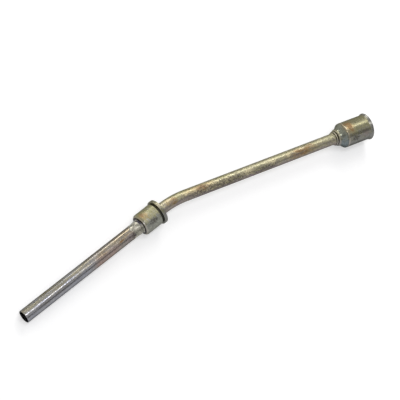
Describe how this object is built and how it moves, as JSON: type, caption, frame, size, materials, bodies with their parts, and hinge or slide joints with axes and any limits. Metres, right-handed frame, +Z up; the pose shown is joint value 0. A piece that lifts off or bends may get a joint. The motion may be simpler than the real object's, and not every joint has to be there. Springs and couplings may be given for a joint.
{
  "type": "oil dipstick tube",
  "caption": "Bent steel dipstick tube: a lower tube and a thinner upper tube brazed into a flanged block spigot, with a lipped stopper cup on top.",
  "frame": {"origin": "on the ground below the middle of the lying tube's box", "axes": "+X along the lying tube from its free end to its cup, +Z up from the ground"},
  "size_m": [0.4558, 0.0562, 0.0303],
  "materials": {
    "lower_tube": "bare and stained steel tube, tan towards the spigot and blue grey towards the free end",
    "upper_tube": "zinc plated and yellow passivated steel, worn and rust stained",
    "spigot": "turned steel with fine rings, yellow passivate worn through to grey",
    "cup": "zinc plated and yellow passivated steel, worn and rust stained",
    "braze": "grey green filler metal, uneven",
    "neck_braze": "smooth plated filler metal"
  },
  "bodies": {
    "root": {"lower_tube": "lower_tube", "upper_tube": "upper_tube", "block_spigot": "spigot", "dipstick_cup": "cup", "braze_nose": "braze", "braze_flange": "braze", "braze_neck": "neck_braze"}
  },
  "joints": []
}
